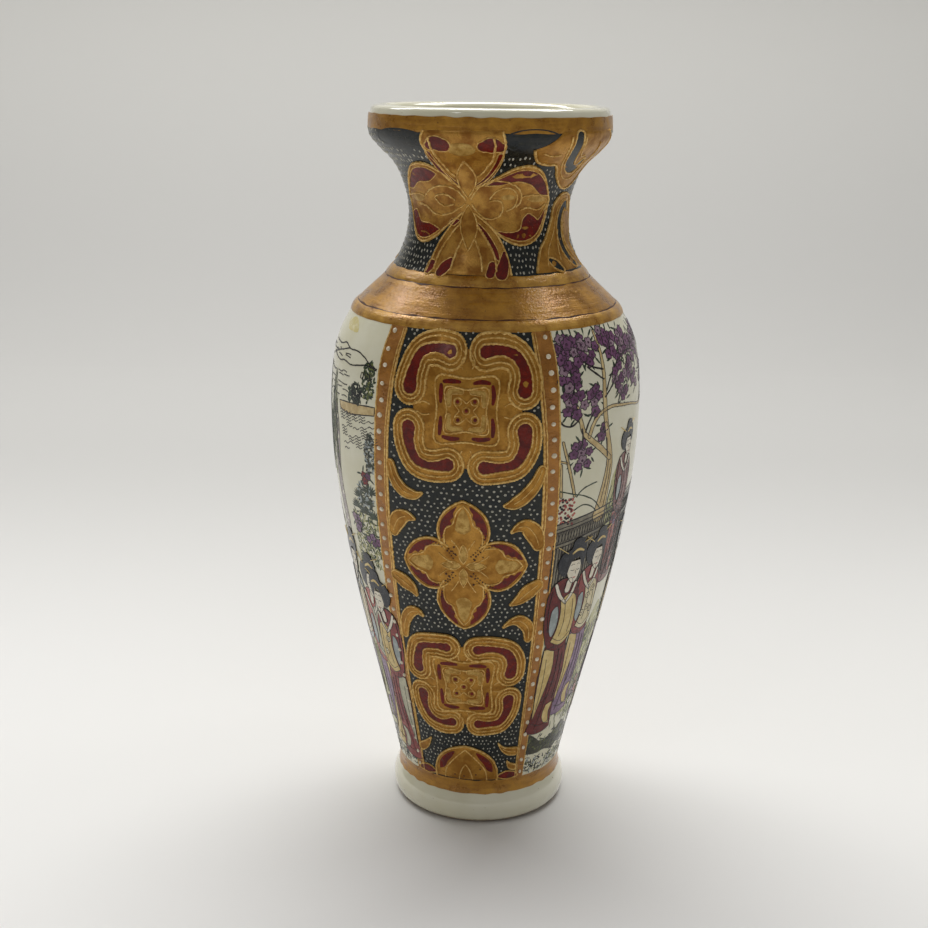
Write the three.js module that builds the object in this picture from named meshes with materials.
// A small porcelain vase with a flared lip, a round shoulder and a ring foot. The slip-cast body is one
// piece; every coat fired onto it is a piece of its own: gilt bands, enamel grounds, transfer-printed scene
// panels, dotted borders, and the raised ornaments that are trailed and modelled over them.
// Millimetres, +Z up. The origin is the centre of the circle that the foot stands on, and the middle of the
// front ornament panel faces -Y.
import * as THREE from "three";

// ---- Driving dimensions ----

const HEIGHT = 154;
const WALL = 3; // from the glazed outside to the glazed inside
const COAT = 0.3; // bands, grounds, borders and scenes
const FILLET_COAT = 0.6; // the two raised rings that edge the shoulder band
const RELIEF_GAP = 0.4; // between a raised ornament and the coat under it
const RELIEF = 0.5; // how thick a raised ornament is

// The glazed outside, as [height, radius], from the foot to the top of the lip.
const OUTSIDE = [
  [0, 18.3], [1.5, 19.35], [3.5, 19.65], [5.5, 19.3], [7.4, 18.3], [10.2, 18.4], [26, 22], [51, 27.85],
  [76, 32.15], [91, 33.1], [102, 32.5], [107, 31.3], [110.5, 29.65], [113.5, 27.85], [116.7, 24.6],
  [119.7, 21.4], [123, 18.9], [128.5, 16.9], [134.5, 16.7], [140, 18.3], [143, 20.1], [145.5, 22.65],
  [148, 24.7], [151, 25], [153, 24.5], [HEIGHT, 23],
];

const FOOT_TOP = 7; // the coats start here, above the bare white foot
const PANEL_BOTTOM = 10.2;
const PANEL_TOP = 112.2;
const SHOULDER_LOW = 114.2;
const SHOULDER_HIGH = 119.7;
const NECK_BOTTOM = 121.7;
const NECK_TOP = 149.6;
const LIP_BAND_TOP = 152; // the lip is bare white above this

const FLOOR_INSIDE = 8; // height of the floor of the hollow
const BASE_RECESS = 2.5; // how far the underside is hollowed inside the foot ring
const FOOT_RING_INSIDE = 14.6;
const FLOOR_EDGE = 10.5; // radius where the floor of the hollow starts to curve up
const LIP_CROWN = 21.2; // radius where the lip turns in to the mouth
const MOUTH_TOP = 148; // the inside keeps to the wall's thickness below this

// An ornament panel and the borders beside it widen a little, as angles, down the tapering body.
const PANEL_HALF_ANGLE = 27.2; // degrees, at the height where the taper is measured from
const PANEL_TAPER = 0.058; // degrees for each millimetre down
const TAPER_FROM = 105;
const BORDER_ANGLE = 6.2;

// Columns of facets round the vase: a panel, a border, a scene, a border, and the same again.
const PANEL_COLUMNS = 6;
const SCENE_COLUMNS = 12;
const HALF_TURN_COLUMNS = PANEL_COLUMNS + SCENE_COLUMNS + 2;
const COLUMNS = 2 * HALF_TURN_COLUMNS;
const TALLEST_FACET = 17; // of the body and the coats
const RELIEF_FACET = 4; // about how wide and tall a facet of a raised ornament is

// ---- Materials ----

function material(color, roughness, metalness) {
  return new THREE.MeshStandardMaterial({ color, roughness, metalness });
}
const porcelain = material(0xdfe0cc, 0.15, 0);
const gilt = material(0x9c6f2a, 0.4, 0.5);
const paleGilt = material(0xb08a48, 0.45, 0.4);
const navyEnamel = material(0x23282c, 0.25, 0);
const rustEnamel = material(0xa0622a, 0.4, 0.1);
const transferPrint = material(0xcfcdb4, 0.15, 0);

// ---- The shape of the outside ----

// A smooth curve through [x, y] points: cubic pieces whose slope at a point is the mean of its neighbours'.
function smoothCurve(points) {
  const slope = (i) => {
    const a = points[Math.max(i - 1, 0)];
    const b = points[Math.min(i + 1, points.length - 1)];
    return (b[1] - a[1]) / (b[0] - a[0]);
  };
  return (x) => {
    const before = points.findLastIndex((p) => p[0] <= x);
    const i = THREE.MathUtils.clamp(before, 0, points.length - 2);
    const [a, b] = [points[i], points[i + 1]];
    const width = b[0] - a[0];
    const t = (x - a[0]) / width;
    const ease = t * t * (3 - 2 * t);
    const leave = t * (1 - t) ** 2 * slope(i);
    const arrive = t * t * (t - 1) * slope(i + 1);
    return a[1] + ease * (b[1] - a[1]) + width * (leave + arrive);
  };
}
const radiusAt = smoothCurve(OUTSIDE);

const panelHalfAngle = (z) => PANEL_HALF_ANGLE + PANEL_TAPER * (TAPER_FROM - z);

// The angle of a column line at a height, in degrees: 0 faces -Y and 90 faces +X.
function columnAngle(column, z) {
  const half = panelHalfAngle(z);
  const turns = Math.floor((column + PANEL_COLUMNS / 2) / HALF_TURN_COLUMNS);
  const k = column + PANEL_COLUMNS / 2 - turns * HALF_TURN_COLUMNS; // 0 at the panel's left edge
  let angle;
  if (k <= PANEL_COLUMNS) angle = -half + (2 * half * k) / PANEL_COLUMNS;
  else {
    const sceneStart = half + BORDER_ANGLE;
    angle = sceneStart + ((180 - 2 * sceneStart) * (k - PANEL_COLUMNS - 1)) / SCENE_COLUMNS;
  }
  return angle + 180 * turns;
}

function pointOnVase(angle, z, radius) {
  const a = THREE.MathUtils.degToRad(angle);
  return [radius * Math.sin(a), -radius * Math.cos(a), z];
}

// ---- Closed solids made of a grid of facets ----

// The facets of a closed loop of points that is carried anticlockwise round the vase, in steps that join up
// or leave two open ends. pointAt(i, k) gives point k of the loop at step i: up outside and down inside.
function sweptLoop(steps, loop, pointAt, joined) {
  const positions = [];
  const count = joined ? steps : steps + 1;
  for (let i = 0; i < count; i++) for (let k = 0; k < loop; k++) positions.push(...pointAt(i, k));
  const at = (i, k) => (i % count) * loop + (k % loop);
  const index = [];
  for (let i = 0; i < steps; i++)
    for (let k = 0; k < loop; k++) {
      const [a, b, c, d] = [at(i, k), at(i + 1, k), at(i + 1, k + 1), at(i, k + 1)];
      // Facets that face in and out are cut along the same diagonal, so that a coat lies on its wall.
      const goesUp = positions[3 * d + 2] > positions[3 * a + 2];
      if (goesUp) index.push(a, b, c, a, c, d);
      else index.push(a, b, d, b, c, d);
    }
  return { positions, index, at };
}

function geometryOf({ positions, index }) {
  const g = new THREE.BufferGeometry();
  g.setAttribute("position", new THREE.Float32BufferAttribute(positions, 3));
  g.setIndex(index);
  g.computeVertexNormals();
  return g;
}

// The heights of the rows of facets between two heights, at the points of the outside and between them.
function facetRows(low, high) {
  const between = OUTSIDE.map(([z]) => z).filter((z) => z > low + 1 && z < high - 1);
  const ends = [low, ...between, high];
  const rows = [low];
  for (let i = 1; i < ends.length; i++) {
    const count = Math.ceil((ends[i] - ends[i - 1]) / TALLEST_FACET);
    for (let j = 1; j <= count; j++) rows.push(THREE.MathUtils.lerp(ends[i - 1], ends[i], j / count));
  }
  return rows;
}

// A coat: between two column lines and over a list of heights, from one offset off the outside to another.
function coatGeometry(firstColumn, lastColumn, heights, inner, outer) {
  const rows = heights.length;
  const steps = lastColumn - firstColumn;
  const joined = steps === COLUMNS;
  const pointAt = (i, k) => {
    const onOuter = k < rows;
    const z = heights[onOuter ? k : 2 * rows - 1 - k];
    return pointOnVase(columnAngle(firstColumn + i, z), z, radiusAt(z) + (onOuter ? outer : inner));
  };
  const swept = sweptLoop(steps, 2 * rows, pointAt, joined);
  if (!joined) capEnds(swept, steps, rows);
  return geometryOf(swept);
}

// Closes the two ends of a swept loop that goes up through as many points as it comes down through.
function capEnds({ index, at }, steps, rows) {
  for (let k = 0; k + 1 < rows; k++) {
    const [a, b, c, d] = [k, k + 1, 2 * rows - 2 - k, 2 * rows - 1 - k];
    index.push(at(0, a), at(0, b), at(0, c), at(0, a), at(0, c), at(0, d));
    index.push(at(steps, a), at(steps, c), at(steps, b), at(steps, a), at(steps, d), at(steps, c));
  }
}

// A raised ornament: for each angle from the middle one to halfAngle on both sides it runs from low to high.
function reliefGeometry({ middle, halfAngle, low, high }) {
  const inner = RELIEF_GAP;
  const outer = RELIEF_GAP + RELIEF;
  const halfWidth = THREE.MathUtils.degToRad(halfAngle) * radiusAt((low(0) + high(0)) / 2);
  const steps = 2 * Math.ceil(halfWidth / RELIEF_FACET);
  const rows = Math.ceil((high(0) - low(0)) / RELIEF_FACET) + 1;
  const pointAt = (i, k) => {
    const u = (2 * i) / steps - 1; // -1 at the left end, 1 at the right
    const onOuter = k < rows;
    const share = (onOuter ? k : 2 * rows - 1 - k) / (rows - 1);
    const z = low(u) + share * (high(u) - low(u));
    return pointOnVase(middle + u * halfAngle, z, radiusAt(z) + (onOuter ? outer : inner));
  };
  const swept = sweptLoop(steps, 2 * rows, pointAt, false);
  capEnds(swept, steps, rows);
  return geometryOf(swept);
}

// ---- The slip-cast body ----

function bodyGeometry() {
  // The wall behind the coats stands back by their thickness, so that the coats finish flush with the glaze.
  const breaks = [FOOT_TOP, PANEL_BOTTOM, PANEL_TOP, SHOULDER_LOW, SHOULDER_HIGH, NECK_BOTTOM, NECK_TOP];
  const behindCoats = breaks.flatMap((low, i) => facetRows(low, breaks[i + 1] ?? LIP_BAND_TOP).slice(0, -1));
  const outside = (z) => [z, radiusAt(z)];
  // A sloping wall measures more when it is measured level.
  const inside = (z) => [z, radiusAt(z) - WALL * Math.hypot(1, radiusAt(z + 0.5) - radiusAt(z - 0.5))];
  const profile = [
    [BASE_RECESS, 0],
    [BASE_RECESS, FOOT_RING_INSIDE - 1],
    [0, FOOT_RING_INSIDE],
    ...facetRows(0, FOOT_TOP).map(outside),
    ...[...behindCoats, LIP_BAND_TOP].map((z) => [z, radiusAt(z) - COAT]),
    ...facetRows(LIP_BAND_TOP, HEIGHT).map(outside),
    [HEIGHT - 0.6, LIP_CROWN],
    ...facetRows(2 * FLOOR_INSIDE, MOUTH_TOP).reverse().map(inside),
    [1.2 * FLOOR_INSIDE, 1.3 * FLOOR_EDGE],
    [FLOOR_INSIDE, FLOOR_EDGE],
    [FLOOR_INSIDE, 0],
  ];
  const pointAt = (i, k) => pointOnVase(columnAngle(i, profile[k][0]), profile[k][0], profile[k][1]);
  const swept = sweptLoop(COLUMNS, profile.length, pointAt, true);
  return geometryOf({ positions: swept.positions, index: withoutSlivers(swept) });
}

// Leaves out the triangles that have two corners in one place, as many of those at the axis do.
function withoutSlivers({ positions, index }) {
  const place = (i) => positions.slice(3 * i, 3 * i + 3).map((x) => Math.round(x * 1e4) + 0).join();
  const places = Array.from({ length: positions.length / 3 }, (_, i) => place(i));
  const kept = [];
  for (let t = 0; t < index.length; t += 3) {
    const corners = index.slice(t, t + 3);
    if (new Set(corners.map((i) => places[i])).size === 3) kept.push(...corners);
  }
  return kept;
}

// ---- The object ----

const vase = new THREE.Group();

function add(name, geometry, mat, turn = 0) {
  const mesh = new THREE.Mesh(geometry, mat);
  mesh.name = name;
  mesh.rotation.z = THREE.MathUtils.degToRad(turn);
  vase.add(mesh);
}

const ring = (low, high, thickness = COAT) =>
  coatGeometry(0, COLUMNS, facetRows(low, high), -COAT, thickness - COAT);

add("porcelain_body", bodyGeometry(), porcelain);
add("foot_gilt_band", ring(FOOT_TOP, PANEL_BOTTOM), gilt);
add("shoulder_lower_fillet", ring(PANEL_TOP, SHOULDER_LOW, FILLET_COAT), paleGilt);
add("shoulder_gilt_band", ring(SHOULDER_LOW, SHOULDER_HIGH), gilt);
add("shoulder_upper_fillet", ring(SHOULDER_HIGH, NECK_BOTTOM, FILLET_COAT), paleGilt);
add("neck_enamel_ground", ring(NECK_BOTTOM, NECK_TOP), navyEnamel);
add("lip_gilt_band", ring(NECK_TOP, LIP_BAND_TOP), gilt);

// Panels, borders and scenes share the height between the foot band and the shoulder.
const bodyHeights = facetRows(PANEL_BOTTOM, PANEL_TOP);
const strip = (first, last) => coatGeometry(first, last, bodyHeights, -COAT, 0);
const halfPanel = PANEL_COLUMNS / 2;
const SIDES = [
  { face: "front", scene: "right", start: 0, turn: 0 },
  { face: "back", scene: "left", start: HALF_TURN_COLUMNS, turn: 180 },
];
for (const { face, scene, start } of SIDES) {
  const right = start + halfPanel;
  add(`${face}_panel_ground`, strip(start - halfPanel, right), navyEnamel);
  add(`${face}_left_border`, strip(start - halfPanel - 1, start - halfPanel), rustEnamel);
  add(`${face}_right_border`, strip(right, right + 1), rustEnamel);
  add(`${scene}_scene_panel`, strip(right + 1, right + 1 + SCENE_COLUMNS), transferPrint);
}

// ---- Raised ornaments ----

// Half the height of a round bump whose middle is at c and whose half width is w, as shares of the ornament.
const bump = (u, c, w) => Math.sqrt(Math.max(0, 1 - ((u - c) / w) ** 2));

// Four petals: a tall one above and below, and a wide one on each side.
const fourPetals = ({ middle, halfAngle, centre, tall, side }) => {
  const half = (u) => Math.max(tall * bump(u, 0, 0.42), side * bump(Math.abs(u), 0.5, 0.52), 0.25);
  return { middle, halfAngle, low: (u) => centre - half(u), high: (u) => centre + half(u) };
};
// A square with well rounded corners.
const medallion = ({ middle, halfAngle, centre, tall }) => {
  const half = (u) => tall * (1 - 0.8 * u ** 6);
  return { middle, halfAngle, low: (u) => centre - half(u), high: (u) => centre + half(u) };
};
// A leafy scroll that grows from a border: tall at the border and pointed towards the flower.
const scroll = ({ middle, halfAngle, centre, tall, towards }) => {
  const half = (u) => tall * (0.3 + 0.35 * (1 - towards * u));
  return { middle, halfAngle, low: (u) => centre - half(u), high: (u) => centre + half(u) };
};

const PANEL_ORNAMENTS = {
  upper_medallion: medallion({ middle: 0, halfAngle: 26, centre: 97.2, tall: 14.4 }),
  panel_flower: fourPetals({ middle: 0, halfAngle: 25.5, centre: 65, tall: 14.4, side: 5.6 }),
  lower_medallion: medallion({ middle: 0, halfAngle: 28.5, centre: 35.5, tall: 13.2 }),
  half_flower: {
    middle: -1,
    halfAngle: 16,
    low: () => PANEL_BOTTOM + 0.3,
    high: (u) => PANEL_BOTTOM + 1.5 + 7.6 * bump(u, 0, 1.05),
  },
  left_scroll: scroll({ middle: -26.3, halfAngle: 3, centre: 76.5, tall: 5.2, towards: 1 }),
  right_scroll: scroll({ middle: 26.3, halfAngle: 3, centre: 76.5, tall: 5.2, towards: -1 }),
};
const NECK_ORNAMENTS = {
  neck_flower: fourPetals({ middle: -4, halfAngle: 55, centre: 135.6, tall: 12.8, side: 7 }),
  neck_scroll: {
    middle: 86,
    halfAngle: 26,
    low: (u) => 127.5 + 3 * Math.abs(u),
    high: (u) => 148 - 6 * Math.abs(u),
  },
};
const GILDED = ["neck_scroll", "left_scroll", "right_scroll"];

for (const { face, turn } of SIDES)
  for (const [name, shape] of Object.entries({ ...PANEL_ORNAMENTS, ...NECK_ORNAMENTS })) {
    const mat = GILDED.includes(name) ? gilt : paleGilt;
    add(`${face}_${name}`, reliefGeometry(shape), mat, turn);
  }

export default vase;
